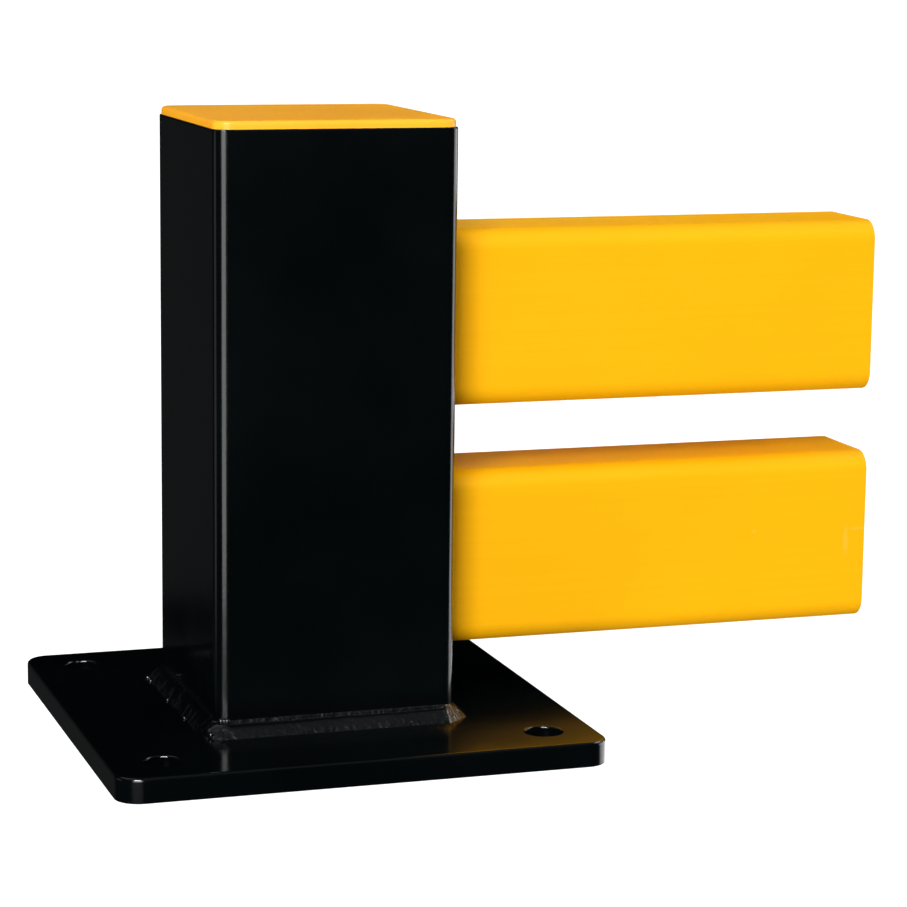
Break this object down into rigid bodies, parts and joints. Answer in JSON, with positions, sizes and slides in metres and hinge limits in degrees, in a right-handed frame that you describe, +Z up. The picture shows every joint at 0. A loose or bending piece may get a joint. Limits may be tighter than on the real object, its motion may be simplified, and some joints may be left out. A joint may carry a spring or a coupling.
{
  "type": "barrier post",
  "caption": "Square steel end post welded on an anchored base plate, with hollow yellow impact planks pinned one above the other in its side and a pressed-in cap on top.",
  "frame": {"origin": "on the floor, under the post's axis, at the middle of the base plate's underside", "axes": "+X along the planks, away from the post; +Z up along the post; +Y across the planks"},
  "size_m": [0.414, 0.24, 0.305],
  "materials": {
    "black_coat": "gloss powder coat",
    "yellow_plank": "smooth extruded polymer",
    "yellow_cap": "satin moulded polymer",
    "zinc_steel": "bright zinc plate"
  },
  "bodies": {
    "root": {"base_plate": "black_coat", "post_tube": "black_coat", "foot_weld": "black_coat", "lower_plank": "yellow_plank", "upper_plank": "yellow_plank", "locking_rod": "zinc_steel", "post_cap": "yellow_cap"}
  },
  "joints": []
}
